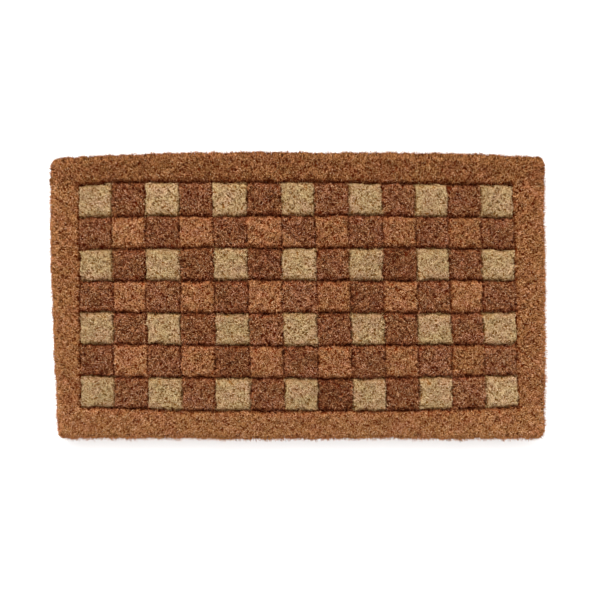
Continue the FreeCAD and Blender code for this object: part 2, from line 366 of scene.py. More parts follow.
# %% [markdown]
# ## One coir fibre
#
# A fibre is a long thin spike: a point at the root, where the weave hides it, and a flat cut at
# the tip. It could be a hair curve, but a hair has no volume to export. A cone with three sides
# has only four faces, so the mat can have hundreds of thousands. A curled fibre is the same cone
# cut once across, so that it can bend.

# %% Make the fibre shapes
TIP_RADIUS = 0.5
CURLED_ROOT_RADIUS = 0.25
BEND_HEIGHT = 0.55


def fibre_shape(bent):
    """Vertices, faces and face corners' places on the fibre, 1 long and 1 thick, root at 0."""
    bm = bmesh.new()
    bmesh.ops.create_cone(bm, cap_ends=True, cap_tris=False, segments=3,
                          radius1=CURLED_ROOT_RADIUS if bent else 0, radius2=TIP_RADIUS, depth=1)
    bmesh.ops.translate(bm, vec=UP / 2, verts=bm.verts)
    if bent:
        whole = bm.verts[:] + bm.edges[:] + bm.faces[:]
        bmesh.ops.bisect_plane(bm, geom=whole, plane_co=UP * BEND_HEIGHT, plane_no=UP)
    bmesh.ops.remove_doubles(bm, verts=bm.verts, dist=1e-5)
    bmesh.ops.triangulate(bm, faces=bm.faces)
    bmesh.ops.recalc_face_normals(bm, faces=bm.faces)
    bm.verts.index_update()
    corners = np.array([vert.co[:] for vert in bm.verts])
    faces = np.array([[vert.index for vert in face.verts] for face in bm.faces])
    bm.free()
    return corners, faces


STRAIGHT = fibre_shape(bent=False)
CURLED = fibre_shape(bent=True)
print("fibre faces:", len(STRAIGHT[1]), "straight,", len(CURLED[1]), "curled")

# %% [markdown]
# ## Setting down many copies
#
# Each copy of a fibre is stretched from its root to its tip, so only those two points and a
# thickness are needed. The copies are worked out together as arrays, because hundreds of
# thousands of separate steps would be slow. Every fibre also gets its own small cell of the UV
# map, so a baked colour map keeps each fibre's colour.

# %% Stamp the fibres
UV_SHARE = 0.92       # of the UV square's height, for the fibres; the rest is for the brush's heart
UV_INSET = 0.04       # of a cell, left empty on each side


def lengths(vectors):
    return np.linalg.norm(vectors, axis=1, keepdims=True)


def stamp(shape, root, tip, thick, bow, rng):
    """Copies of a fibre shape. Returns vertices, faces and how far along each vertex lies."""
    corners, faces = shape
    along = corners[:, 2]
    run = tip - root
    side = np.cross(run, rng.normal(size=run.shape))
    side /= lengths(side)
    other = np.cross(run, side)
    other /= lengths(other)
    bend = 4 * along * (1 - along)
    vertices = (
        root[:, None]
        + run[:, None] * along[:, None]
        + bow[:, None] * bend[:, None]
        + (side * thick[:, None])[:, None] * corners[:, :1]
        + (other * thick[:, None])[:, None] * corners[:, 1:2]
    )
    first = np.arange(len(root)) * len(corners)
    copies = faces[None] + first[:, None, None]
    return vertices.reshape(-1, 3), copies.reshape(-1, 3), np.tile(along, len(root))


def fibre_uv(shape, first_cell, count, cells_wide, cells_high):
    """UV places of the copies' face corners: one cell to a fibre, one strip of it to a face."""
    corners, faces = shape
    strip = (np.arange(len(faces))[:, None] + np.array([0.0, 1.0, 0.5])) / len(faces)
    height = corners[faces, 2].copy()
    flat = np.ptp(height, axis=1) < 0.01
    height[flat] = (0.0, 1.0, 1.0)
    place = np.stack([strip, height], axis=-1) * (1 - 2 * UV_INSET) + UV_INSET
    cell = first_cell + np.arange(count)
    corner = np.stack([cell % cells_wide, cell // cells_wide], axis=-1)
    uv = corner[:, None, None] + place[None]
    return (uv * (1 / cells_wide, UV_SHARE / cells_high)).reshape(-1, 2)


def build_mesh(name, vertices, faces, uv, values):
    """A mesh from arrays of triangles, with its UV map and one number to a vertex per value."""
    mesh = bpy.data.meshes.new(name)
    mesh.vertices.add(len(vertices))
    mesh.vertices.foreach_set("co", vertices.astype(np.float32).ravel())
    mesh.loops.add(faces.size)
    mesh.loops.foreach_set("vertex_index", faces.astype(np.int32).ravel())
    mesh.polygons.add(len(faces))
    mesh.polygons.foreach_set("loop_start", np.arange(0, faces.size, 3, dtype=np.int32))
    mesh.update(calc_edges=True)
    if uv is not None:
        layer = mesh.uv_layers.new(name="OFBake")
        layer.data.foreach_set("uv", uv.astype(np.float32).ravel())
    for title, numbers in values.items():
        attribute = mesh.attributes.new(title, "FLOAT", "POINT")
        attribute.data.foreach_set("value", numbers.astype(np.float32))
    mesh.validate()
    return mesh


PIECE_FACES = {}


def add_piece(name, mesh, finish, slot, *nodes):
    """Puts a mesh in the scene as a piece that stands for the named frame nodes."""
    piece = bpy.data.objects.new(name, mesh)
    scene.collection.objects.link(piece)
    mesh.materials.clear()
    mesh.materials.append(finish)
    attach(piece, "root")
    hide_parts(*nodes)
    faces = sum(len(polygon.vertices) - 2 for polygon in mesh.polygons)
    PIECE_FACES[name] = faces
    return piece

# %% [markdown]
# ## The sheared surface
#
# The brush is sheared level, rounded over along the mat's outside, and grooved between blocks.
# The grooves between rows are wider and deeper than those between columns, because the shears
# run the long way. The surface is written as a depth below the level top.

# %% Shape of the surface
CORNER_ROUND = 12 * MM
EDGE_ROUND = 10 * MM
ROW_GROOVE = (10.4 * MM, 3.0 * MM)       # depth and half-width
COLUMN_GROOVE = (7.0 * MM, 1.55 * MM)
DEPTH_WAVES = ((0.10, 37.0, 51.0, 1.9), (0.09, 22.0, -29.0, 0.2), (0.06, 12.0, 17.0, 3.3))


def outline(x, y):
    """How far a point lies inside the rounded outline, and the way out."""
    past_x = np.abs(x) - (HALF_X - CORNER_ROUND)
    past_y = np.abs(y) - (HALF_Y - CORNER_ROUND)
    corner_x, corner_y = np.maximum(past_x, 0), np.maximum(past_y, 0)
    reach = np.hypot(corner_x, corner_y)
    edge = CORNER_ROUND - reach - np.minimum(np.maximum(past_x, past_y), 0)
    safe = np.maximum(reach, 1e-9)
    out_x = np.where(reach > 0, corner_x / safe, past_x > past_y) * np.sign(x)
    out_y = np.where(reach > 0, corner_y / safe, past_x <= past_y) * np.sign(y)
    return edge, out_x, out_y


def to_line(position, half, pitch, count):
    """The way from each position to the nearest line of the check, with its sign."""
    line = np.clip(np.round((position + half) / pitch), 0, count)
    return line * pitch - half - position


def groove(distance, shape, vary):
    depth, half_width = shape
    half_width = half_width * (1 + vary)
    return depth * (1 + vary) * np.exp(-(np.abs(distance) / half_width) ** 1.6)


def carved(x, y):
    """Depth of the grooves, which end with the check."""
    # The shears cut deeper in one place than in the next.
    vary_column, vary_row = wave(DEPTH_WAVES, x, y, 0.0), wave(DEPTH_WAVES, y, x, 3.0)
    column = groove(to_line(x, FIELD_X, CELL_X, COLUMNS), COLUMN_GROOVE, 2 * vary_column / MM)
    row = groove(to_line(y, FIELD_Y, CELL_Y, ROWS), ROW_GROOVE, vary_row / MM)
    column = column * (np.abs(y) < FIELD_Y + 2 * MM)
    row = row * (np.abs(x) < FIELD_X + 2 * MM)
    return np.maximum(column, row)


def rounded(edge):
    """Depth of the rounding, where edge is the distance inside the outline."""
    short = np.clip(EDGE_ROUND - edge, 0, EDGE_ROUND)
    return EDGE_ROUND - np.sqrt(np.maximum(EDGE_ROUND**2 - short**2, 0))


def depth_below_top(x, y):
    edge, _, _ = outline(x, y)
    return carved(x, y) + rounded(edge)


print("groove depths, mm:", *(f"{shape[0] / MM:.1f}" for shape in (ROW_GROOVE, COLUMN_GROOVE)))


# %% [markdown]
# ## Clumps, leans and strays
#
# Fibres don't stand like nails. They stand in clumps, each clump leans its own way, and the
# fibres at the outside and beside a groove splay into the open. A few fibres are curled, and a
# few escaped the shears and stick out.

# %% Grow the brush
CLUMP_PITCH = 2.0 * MM
CLUMP_FIBRES = 4
CLUMP_SPREAD = 1.55 * MM
FIBRE_REACH = 12.5 * MM     # how deep a fibre is made below its tip, except at the outside
CLUMP_LEAN = 1.9 * MM
FIBRE_LEAN = 2.5 * MM
EDGE_SPLAY = 6.0 * MM
EDGE_SPLAY_WIDE = 14 * MM
WHOLE_WIDE = 12 * MM        # fibres this near the outside are made down to the weave
GROOVE_SPLAY = 1.4 * MM
GROOVE_SPLAY_WIDE = 4 * MM
UNEVEN = (0.30, 1.15)       # of the shearing, in mm, from clump to clump and from fibre to fibre
THINNEST, THICKEST = 0.54 * MM, 0.94 * MM
# How much the shade differs from clump to clump, fibre to fibre and block to block.
CLUMP_SHADE, FIBRE_SHADE, BLOCK_SHADE = 0.06, 0.28, 0.045
PROUD_SHARE = 0.025
PROUD_HEIGHT = 2.0 * MM
PROUD_PALER = 0.18
LAID_SHARE = 0.05           # fibres that the shears missed and that now lie over the others
LAID_LENGTH = 5.5 * MM
LAID_DEPTH = 3.0 * MM
LAID_PALER = 0.08
PALE_SHARE = 0.10           # of the laid fibres
PALE_PALER = 0.35
RIM_PAINTED_SHADE = 0.11           # painted shade along the outside
RIM_WIDE = 6.0 * MM


def thickness(count, rng):
    return THINNEST + (THICKEST - THINNEST) * rng.random(count)


def clump_centres(box, rng):
    """Jittered places for clumps over a rectangle (low x, high x, low y, high y)."""
    low_x, high_x, low_y, high_y = box
    wide = max(1, round((high_x - low_x) / CLUMP_PITCH))
    deep = max(1, round((high_y - low_y) / CLUMP_PITCH))
    column, row = np.meshgrid(np.arange(wide), np.arange(deep))
    x = low_x + (column.ravel() + rng.random(wide * deep)) * (high_x - low_x) / wide
    y = low_y + (row.ravel() + rng.random(wide * deep)) * (high_y - low_y) / deep
    # A tuft isn't always set in line, so one colour strays over the groove into the next.
    stray_x, stray_y = wave(TUFT_WAVES, x, y, 0.0), wave(TUFT_WAVES, y, x, 2.0)
    x, y = x + stray_x, y + stray_y
    kept = outline(x, y)[0] > 0.3 * MM
    return x[kept], y[kept]


def brush_fibres(box, rng):
    """Root, tip, shade and thickness of every fibre over a rectangle of the straight layout."""
    centre_x, centre_y = clump_centres(box, rng)
    clumps = len(centre_x)
    count = clumps * CLUMP_FIBRES

    def each(spread_clump, spread_fibre):
        shared = np.repeat(rng.normal(0, 1, clumps) * spread_clump, CLUMP_FIBRES)
        return shared + rng.normal(0, 1, count) * spread_fibre

    spread = CLUMP_SPREAD * np.sqrt(rng.random(count))
    turn = rng.random(count) * 2 * math.pi
    x = np.repeat(centre_x, CLUMP_FIBRES) + spread * np.cos(turn)
    y = np.repeat(centre_y, CLUMP_FIBRES) + spread * np.sin(turn)
    edge, out_x, out_y = outline(x, y)
    splay = EDGE_SPLAY * np.clip(1 - edge / EDGE_SPLAY_WIDE, 0, 1.2) ** 1.3
    line_x = to_line(x, FIELD_X, CELL_X, COLUMNS)
    line_y = to_line(y, FIELD_Y, CELL_Y, ROWS)
    lean_x = each(CLUMP_LEAN, FIBRE_LEAN) + splay * out_x
    lean_y = each(CLUMP_LEAN, FIBRE_LEAN) + splay * out_y
    laid = rng.random(count) < LAID_SHARE
    laid_turn = rng.random(count) * 2 * math.pi
    lean_x += laid * LAID_LENGTH * np.cos(laid_turn)
    lean_y += laid * LAID_LENGTH * np.sin(laid_turn)
    lean_x += GROOVE_SPLAY * np.sign(line_x) * np.exp(-np.abs(line_x) / GROOVE_SPLAY_WIDE)
    lean_y += GROOVE_SPLAY * np.sign(line_y) * np.exp(-np.abs(line_y) / GROOVE_SPLAY_WIDE)
    height = TOP - depth_below_top(x, y) - np.abs(each(*UNEVEN)) * MM
    proud = rng.random(count) < PROUD_SHARE
    height[proud] += rng.random(proud.sum()) * PROUD_HEIGHT
    reach = np.where(edge < WHOLE_WIDE, TOP, FIBRE_REACH)
    reach = np.where(laid, LAID_DEPTH, reach)
    foot = np.maximum(height - reach, BASE + 0.3 * MM)
    # A longer fibre leans further, so the angle stays the same.
    lean = np.where(laid, 1.0, ((height - foot) / FIBRE_REACH) ** 0.6)
    root = np.stack([x - lean_x * lean, y - lean_y * lean, foot], axis=1)
    tip = np.stack([x, y, height], axis=1)
    shade = 0.5 + each(CLUMP_SHADE, FIBRE_SHADE) + rng.normal(0, BLOCK_SHADE)
    # Painted shade: darker towards the outline.
    shade -= RIM_PAINTED_SHADE * np.exp(-np.maximum(edge, 0) / RIM_WIDE)
    shade[proud] += PROUD_PALER
    shade[laid] += LAID_PALER
    shade[laid & (rng.random(count) < PALE_SHARE)] += PALE_PALER
    return root, tip, shade, thickness(count, rng)


# %% [markdown]
# ## The wall of the brush
#
# Round the outside the fibres face sideways, from the rounded edge down to the weave. They are set
# along the outline by their distance round it, and some fine ends escape as a soft fuzz.

# %% Grow the outside
OUTSIDE_DENSITY = 0.56      # fibres per square millimetre
OUTSIDE_BULGE = 1.2 * MM
OUTSIDE_UNEVEN = 0.6 * MM
OUTSIDE_SLANT = 2.2 * MM
OUTSIDE_HANG = 3.0 * MM     # how far the lowest tips hang below the top of the weave
ROOTS_INSIDE = (6.5, 3)     # the least depth of the roots behind the outline, and its range, in mm
OUTSIDE_SHADE, OUTSIDE_SHADE_SPREAD = 0.47, 0.20
FUZZ_SHARE = 0.28
FUZZ_REACH = 4.0 * MM
FUZZ_THICK = 0.42 * MM
# Painted shade on the wall of the brush that faces the back.
BACK_WALL_PAINTED_SHADE = 0.12


def outside_fibres(rng):
    """The fibres that face sideways, all round the mat, with the same four values."""
    around = 2 * (2 * HALF_X + 2 * HALF_Y)
    tall = TOP - BASE
    count = int(around * tall * OUTSIDE_DENSITY / MM**2)
    place = rng.random(count) * around
    long, short = 2 * HALF_X, 2 * HALF_Y
    side = np.searchsorted([long, long + short, 2 * long + short], place)
    x = np.choose(side, [place - HALF_X, HALF_X, HALF_X - (place - long - short), -HALF_X])
    y = np.choose(side, [-HALF_Y, place - long - HALF_Y, HALF_Y,
                         HALF_Y - (place - 2 * long - short)])
    inner_x = np.clip(x, CORNER_ROUND - HALF_X, HALF_X - CORNER_ROUND)
    inner_y = np.clip(y, CORNER_ROUND - HALF_Y, HALF_Y - CORNER_ROUND)
    away = np.stack([x - inner_x, y - inner_y], axis=1)
    away /= lengths(away)
    inner = np.stack([inner_x, inner_y], axis=1)
    # A power below 1 sets more of the tips high on the wall than low.
    height = BASE - OUTSIDE_HANG + rng.random(count) ** 0.8 * (tall - 1.0 * MM)
    bulge = np.sin(np.clip((height - BASE) / tall, 0, 1) * math.pi) * OUTSIDE_BULGE
    top_edge = rounded(np.clip(TOP - height, 0, EDGE_ROUND))
    out = CORNER_ROUND + bulge - top_edge + rng.normal(0, OUTSIDE_UNEVEN, count)
    # Some fine ends escape a little, and make the soft fuzz all round.
    fuzz = rng.random(count) < FUZZ_SHARE
    out += fuzz * rng.random(count) * FUZZ_REACH
    along = np.stack([-away[:, 1], away[:, 0]], axis=1) * rng.normal(0, OUTSIDE_SLANT, (count, 1))
    foot = BASE + 0.4 * MM + np.clip(height - BASE, 0, tall) * 0.30
    foot_out = CORNER_ROUND - (ROOTS_INSIDE[0] + rng.random(count) * ROOTS_INSIDE[1]) * MM
    tip = np.column_stack([inner + away * out[:, None], height])
    root = np.column_stack([inner + away * foot_out[:, None] - along, foot])
    # The sideways fibres take the rim's painted shade too.
    shade = OUTSIDE_SHADE - RIM_PAINTED_SHADE + rng.normal(0, OUTSIDE_SHADE_SPREAD, count)
    # Painted shade: the fibres that face the back are darker.
    shade -= BACK_WALL_PAINTED_SHADE * np.maximum(away[:, 1], 0)
    return root, tip, shade, np.where(fuzz, FUZZ_THICK, thickness(count, rng))


# %% [markdown]
# ## The heart of the brush
#
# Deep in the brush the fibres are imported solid. A bumpy closed shape a few millimetres below the
# tips stands for that packing, so no light leaks through, and only the free ends of the fibres
# need to be made one by one.

# %% Make the heart of a block
HEART_DEPTH = 7.5 * MM
HEART_INSET = 5.5 * MM
HEART_PITCH = 4.0 * MM
HEART_BUMPS = 0.6
# What the finish reads on the heart: the root colour above, partly dust and partly painted shade, and
# darker coir against the weave, as painted shade.
HEART_ALONG = {"upper": 0.2, "lower": 0.8}
HEART_PAINTED_SHADE = {"upper": 0.35, "lower": 0.15}


def heart(box, rng):
    """A closed bumpy shape under the tips of a rectangle of brush, and its two finish values."""
    limit_x, limit_y = HALF_X - HEART_INSET, HALF_Y - HEART_INSET
    low_x, high_x = np.clip(box[:2], -limit_x, limit_x)
    low_y, high_y = np.clip(box[2:], -limit_y, limit_y)
    wide = max(2, round((high_x - low_x) / HEART_PITCH))
    deep = max(2, round((high_y - low_y) / HEART_PITCH))
    bm = bmesh.new()
    bmesh.ops.create_grid(bm, x_segments=wide, y_segments=deep, size=0.5)
    bmesh.ops.scale(bm, vec=(high_x - low_x, high_y - low_y, 1), verts=bm.verts)
    bmesh.ops.translate(bm, vec=((low_x + high_x) / 2, (low_y + high_y) / 2, BASE), verts=bm.verts)
    lifted = bmesh.ops.extrude_face_region(bm, geom=bm.faces[:])["geom"]
    upper = {item for item in lifted if isinstance(item, bmesh.types.BMVert)}
    # It gets its height first, because a flat shape has no outside to turn its faces to.
    bmesh.ops.translate(bm, vec=UP * (TOP - BASE), verts=list(upper))
    bmesh.ops.recalc_face_normals(bm, faces=bm.faces)
    bmesh.ops.triangulate(bm, faces=bm.faces)
    bm.verts.index_update()
    is_upper = np.array([vert in upper for vert in bm.verts])
    points = np.array([vert.co[:] for vert in bm.verts])
    faces = np.array([[vert.index for vert in face.verts] for face in bm.faces])
    bm.free()
    edge, out_x, out_y = outline(points[:, 0], points[:, 1])
    pull = np.clip(HEART_INSET - edge, 0, None)
    points[:, 0] -= out_x * pull
    points[:, 1] -= out_y * pull
    top = TOP - HEART_DEPTH - depth_below_top(points[:, 0], points[:, 1])
    top += rng.normal(0, HEART_BUMPS, len(points)) * MM
    points[is_upper, 2] = top[is_upper]
    # The heart is painted darker than the fibres, as painted shade deep in the brush.
    along, shade = (np.where(is_upper, value["upper"], value["lower"])
                    for value in (HEART_ALONG, HEART_PAINTED_SHADE))
    return points, faces, along, shade


def heart_uv(points, faces, box):
    """The heart's corners laid flat in the strip of the UV square above the fibres."""
    low_x, high_x, low_y, high_y = box
    u = (points[faces, 0] - low_x) / (high_x - low_x)
    v = (points[faces, 1] - low_y) / (high_y - low_y)
    faces_up = np.cross(points[faces[:, 1]] - points[faces[:, 0]],
                        points[faces[:, 2]] - points[faces[:, 0]])[:, 2] > 0
    half = (1 - UV_SHARE) / 2
    v = UV_SHARE + half * (v * 0.9 + 0.05) + half * faces_up[:, None]
    return np.stack([np.clip(u, 0, 1), v], axis=-1).reshape(-1, 2)


# %% [markdown]
# ## Putting a piece of brush together
#
# A piece is its heart, its straight fibres and its curled fibres in one mesh, moved by the
# hand-made warp at the end.

# %% Assemble the brush
CURLED_SHARE = 0.05
CURL = 1.8                  # how far a curled fibre bows, in mm
GROOVE_PAINTED_SHADE = 0.42          # how far the darker root colour climbs the fibres in the deepest groove, as painted shade


def brush_piece(name, boxes, colour, rng, extra=None, painted_darkening=0.0):
    """One piece of pile over some rectangles of the straight layout."""
    grown = [brush_fibres(box, rng) for box in boxes] + ([extra] if extra else [])
    root, tip, shade, thick = (np.concatenate(group) for group in zip(*grown))
    # Painted shade and painted light: a whole border strip is made darker by this, and lighter where
    # it is below 0.
    shade -= painted_darkening
    # Fibres whose tips lie deep in a groove take more of the root colour, as painted shade in the
    # groove.
    groove_shade_factor = 1 - GROOVE_PAINTED_SHADE * carved(tip[:, 0], tip[:, 1]) / ROW_GROOVE[0]
    bow = np.zeros_like(root)
    curled = rng.random(len(root)) < CURLED_SHARE
    bow[curled] = rng.normal(0, CURL, (curled.sum(), 3)) * MM
    cells_wide = math.ceil(math.sqrt(len(root) / UV_SHARE))
    cells_high = math.ceil(len(root) / cells_wide)
    vertices, faces, uv, alongs, shades = [], [], [], [], []
    first_vertex, first_cell = 0, 0
    for shape, chosen in ((STRAIGHT, ~curled), (CURLED, curled)):
        points, triangles, along = stamp(shape, root[chosen], tip[chosen], thick[chosen],
                                         bow[chosen], rng)
        vertices.append(points)
        faces.append(triangles + first_vertex)
        uv.append(fibre_uv(shape, first_cell, chosen.sum(), cells_wide, cells_high))
        alongs.append(along * np.repeat(groove_shade_factor[chosen], len(shape[0])))
        shades.append(np.repeat(shade[chosen], len(shape[0])))
        first_vertex += len(points)
        first_cell += chosen.sum()
    for box in boxes:
        points, triangles, along, heart_painted_shade = heart(box, rng)
        vertices.append(points)
        faces.append(triangles + first_vertex)
        uv.append(heart_uv(points, triangles, box))
        alongs.append(along)
        shades.append(heart_painted_shade)
        first_vertex += len(points)
    vertices = np.concatenate(vertices)
    vertices[:, 0], vertices[:, 1] = by_hand(vertices[:, 0], vertices[:, 1])
    values = {"shade": np.concatenate(shades), "along": np.concatenate(alongs)}
    mesh = build_mesh(name, vertices, np.concatenate(faces), np.concatenate(uv), values)
    add_piece(f"{name}_brush", mesh, PILE_FINISH[colour], f"{colour}_pile", name)
    return len(root)


def cell_box(column, row):
    """The rectangle of one block, by its column from the left and its row from the back."""
    low_x = -FIELD_X + (column - 1) * CELL_X
    low_y = FIELD_Y - row * CELL_Y
    return low_x, low_x + CELL_X, low_y, low_y + CELL_Y


# %% [markdown]
# ## Tufts set out of place
#
# A hand-made mat has its slips. In the second row some tan tufts were set over the groove, in a
# corner of the next brown block, and a line of pale fibres was pulled askew on the way there.

# %% Grow the slip
STRAY_LIFT = 0.5 * MM
STRAY_WIDE, STRAY_DEEP = 0.68, 0.58     # of a block, for the corner that the stray tufts fill
ASKEW_COUNT = 75
ASKEW_LENGTH = 6.0 * MM


def stray_tufts(rng):
    """Tan fibres over a three-cornered part of the brown block in column 7 of row 2."""
    low_x, _, low_y, _ = cell_box(7, 2)
    box = (low_x, low_x + STRAY_WIDE * CELL_X, low_y + 0.06 * CELL_Y, low_y + STRAY_DEEP * CELL_Y)
    root, tip, shade, thick = brush_fibres(box, rng)
    # From 0 in the corner of the block to 1 at the slanting edge of the tufts.
    outward = (tip[:, 0] - low_x) / (STRAY_WIDE * CELL_X) + (tip[:, 1] - low_y) / (STRAY_DEEP * CELL_Y)
    shade = np.where(outward > 0.75, shade + 0.22, shade - 0.08)
    tip[:, 2] += STRAY_LIFT
    kept = outward < 1
    return root[kept], tip[kept], shade[kept], thick[kept]


def askew_fibres(rng):
    """Pale fibres that lie across the tan block in column 6 of row 2, along a slanting line."""
    low_x, _, low_y, _ = cell_box(6, 2)
    along = rng.random(ASKEW_COUNT)
    x = low_x + along * CELL_X + rng.normal(0, 1.0, ASKEW_COUNT) * MM
    y = low_y + (0.78 - 0.32 * along) * CELL_Y + rng.normal(0, 1.7, ASKEW_COUNT) * MM
    turn = rng.normal(-0.4, 0.6, ASKEW_COUNT)
    tip = np.column_stack([x, y, TOP + rng.normal(0.2, 0.4, ASKEW_COUNT) * MM])
    run = np.column_stack([np.cos(turn), np.sin(turn), np.full(ASKEW_COUNT, 0.35)])
    shade = rng.normal(0.82, 0.12, ASKEW_COUNT)
    return tip - run * ASKEW_LENGTH, tip, shade, thickness(ASKEW_COUNT, rng)


def slip(rng):
    """Both together, as one group of fibres."""
    return tuple(np.concatenate(pair) for pair in zip(stray_tufts(rng), askew_fibres(rng)))


# %% [markdown]
# ## The blocks
#
# Odd rows alternate beige and brown, and even rows brown and tan. Each colour of a row is one
# piece, as in the frame.

# %% Grow the blocks
fibres = 0
for row in range(1, ROWS + 1):
    for first_column, colour in enumerate(("beige", "brown") if row % 2 else ("brown", "tan"), 1):
        boxes = [cell_box(column, row) for column in range(first_column, COLUMNS + 1, 2)]
        seed = np.random.default_rng(100 * row + first_column)
        extra = slip(np.random.default_rng(77)) if (row, colour) == (2, "tan") else None
        fibres += brush_piece(f"row_{row}_{colour}_pile", boxes, colour, seed, extra)
print("fibres in the blocks:", fibres)

# %% [markdown]
# ## The border
#
# The front and back strips run the whole length and hold the rounded corners. The side strips
# fill the gaps between them. Sideways fibres close the outside down to the weave.

# %% Grow the border
BORDER_BOXES = {
    "front": (-HALF_X, HALF_X, -HALF_Y, -FIELD_Y),
    "back": (-HALF_X, HALF_X, FIELD_Y, HALF_Y),
    "left": (-HALF_X, -FIELD_X, -FIELD_Y, FIELD_Y),
    "right": (FIELD_X, HALF_X, -FIELD_Y, FIELD_Y),
}
# How much darker each strip is painted than the middle of the range: painted shade at the back and on
# the left, painted light at the front and on the right.
STRIP_PAINTED_LIGHT_AND_SHADE = {"front": -0.065, "back": 0.095, "left": 0.018, "right": -0.055}
outside = outside_fibres(np.random.default_rng(900))
outside_tip = outside[1]
beyond = np.abs(outside_tip[:, 1]) > FIELD_Y
OUTSIDE_OF = {
    "front": beyond & (outside_tip[:, 1] < 0),
    "back": beyond & (outside_tip[:, 1] > 0),
    "left": ~beyond & (outside_tip[:, 0] < 0),
    "right": ~beyond & (outside_tip[:, 0] > 0),
}
for number, (side, box) in enumerate(BORDER_BOXES.items()):
    extra = tuple(values[OUTSIDE_OF[side]] for values in outside)
    seed = np.random.default_rng(910 + number)
    grown = brush_piece(f"{side}_border_pile", [box], "border", seed, extra, STRIP_PAINTED_LIGHT_AND_SHADE[side])
    print(f"{side} border: {grown} fibres, {PIECE_FACES[f'{side}_border_pile_brush']} faces")

# %% [markdown]
# ## Finishes of the woven base
#
# Yarn, rope and twine are spun from the same fibre, so their finish is streaks that run along
# the piece. Each strand carries its own `along` and `shade`, as the fibres do. Here `along`
# counts metres down the strand and `turn` goes round it, so streaks follow its twist.

# %% Yarn finishes
YARN_COLOURS = {
    "coir_yarn": ((0.10, 0.045, 0.018), (0.34, 0.180, 0.075), (0.62, 0.400, 0.200)),
    "coir_rope": ((0.09, 0.040, 0.016), (0.31, 0.155, 0.062), (0.58, 0.350, 0.165)),
    "twine": ((0.38, 0.270, 0.150), (0.62, 0.490, 0.320), (0.80, 0.690, 0.520)),
}
STREAK_SCALE = 260.0


def yarn_finish(slot):
    """Streaks along a twisted yarn, from its strand coordinates."""
    finish = Finish(f"{slot}_spun")
    place = finish.node("ShaderNodeCombineXYZ", X=finish.attribute("along"),
                        Y=finish.attribute("turn"), Z=finish.attribute("shade") * 0.4)
    streak = finish.node("ShaderNodeTexNoise", Vector=place, Scale=STREAK_SCALE, Detail=3.0)
    cloud = finish.noise(45.0)
    shade = streak * 0.9 + (cloud - 0.5) * 0.5 + (finish.attribute("shade") - 0.5) * 0.35 + 0.05
    dark, middle, light = YARN_COLOURS[slot]
    colour = finish.node("ShaderNodeValToRGB",
                         {"stops": [(0.25, dark), (0.5, middle), (0.78, light)]}, Fac=shade)
    bump = finish.node("ShaderNodeBump", Height=streak, Strength=0.7, Distance=0.6 * MM)
    return finish.surface(Base_Color=colour, Roughness=0.9 - streak * 0.25, Normal=bump,
                          Specular_IOR_Level=0.3)


YARN_FINISH = {slot: yarn_finish(slot) for slot in YARN_COLOURS}
print("yarn finishes:", ", ".join(YARN_FINISH))

# %% [markdown]
# ## Twisted strands
#
# A spun yarn is two or three plies twisted together. Its section has a lobe for each ply, and the
# lobes wind round the yarn. A bmesh circle pinched between its lobes makes the section, and one
# spin that climbs as it turns makes the straight twisted strand. A copy of it is then bent along
# each yarn's path, so that a hundred yarns need only one such shape.

# %% Twist a straight strand
def twisted_strand(steps, sides, lobes, waist, turns):
    """A closed strand of radius 1 and one step per unit of height: vertices, faces, angles."""
    bm = bmesh.new()
    bmesh.ops.create_circle(bm, cap_ends=True, segments=sides, radius=1)
    for vert in bm.verts:
        angle = math.atan2(vert.co.y, vert.co.x)
        vert.co *= 1 - waist * (0.5 - 0.5 * math.cos(lobes * angle))
    bmesh.ops.spin(bm, geom=bm.faces[:], cent=(0, 0, 0), axis=UP, dvec=UP,
                   angle=2 * math.pi * turns, steps=steps, use_duplicate=False)
    bmesh.ops.recalc_face_normals(bm, faces=bm.faces)
    bmesh.ops.triangulate(bm, faces=bm.faces)
    bm.verts.index_update()
    corners = np.array([vert.co[:] for vert in bm.verts])
    faces = np.array([[vert.index for vert in face.verts] for face in bm.faces])
    bm.free()
    # The angle on the section, without the twist, so that the streaks follow the plies.
    turned = np.arctan2(corners[:, 1], corners[:, 0]) - 2 * math.pi * turns * corners[:, 2] / steps
    return corners, faces, (turned + 0.01) % (2 * math.pi)


def bend(strand, path, radius, flatten=1.0, upright=UP):
    """A copy of a strand along a path: vertices, faces, metres along and round each vertex."""
    corners, faces, angle = strand
    step = np.rint(corners[:, 2]).astype(int)
    run = np.gradient(path, axis=0)
    run /= lengths(run)
    side = np.cross(np.array(upright), run)
    side /= lengths(side)
    lift = np.cross(run, side)
    along = np.concatenate([[0], np.cumsum(lengths(np.diff(path, axis=0)))])
    points = (path[step] + radius * corners[:, :1] * side[step]
              + radius * flatten * corners[:, 1:2] * lift[step])
    return points, faces, along[step], angle * radius


def strand_piece(name, strands, slot, *nodes, rng):
    """One piece from several bent strands, passed through the hand-made warp."""
    vertices, faces, alongs, turns, shades = [], [], [], [], []
    first_vertex = 0
    for points, triangles, along, turn in strands:
        vertices.append(points)
        faces.append(triangles + first_vertex)
        alongs.append(along + rng.random() * 0.5)
        turns.append(turn)
        shades.append(np.full(len(points), rng.random()))
        first_vertex += len(points)
    vertices = np.concatenate(vertices)
    vertices[:, 0], vertices[:, 1] = by_hand(vertices[:, 0], vertices[:, 1])
    vertices[:, 2] = np.maximum(vertices[:, 2], 0)
    values = {"along": np.concatenate(alongs), "turn": np.concatenate(turns),
              "shade": np.concatenate(shades)}
    mesh = build_mesh(name, vertices, np.concatenate(faces), None, values)
    for polygon in mesh.polygons:
        polygon.use_smooth = True
    add_piece(name, mesh, YARN_FINISH[slot], slot, *nodes)
    print(f"{name}: {len(strands)} strands, {PIECE_FACES[name]} faces")


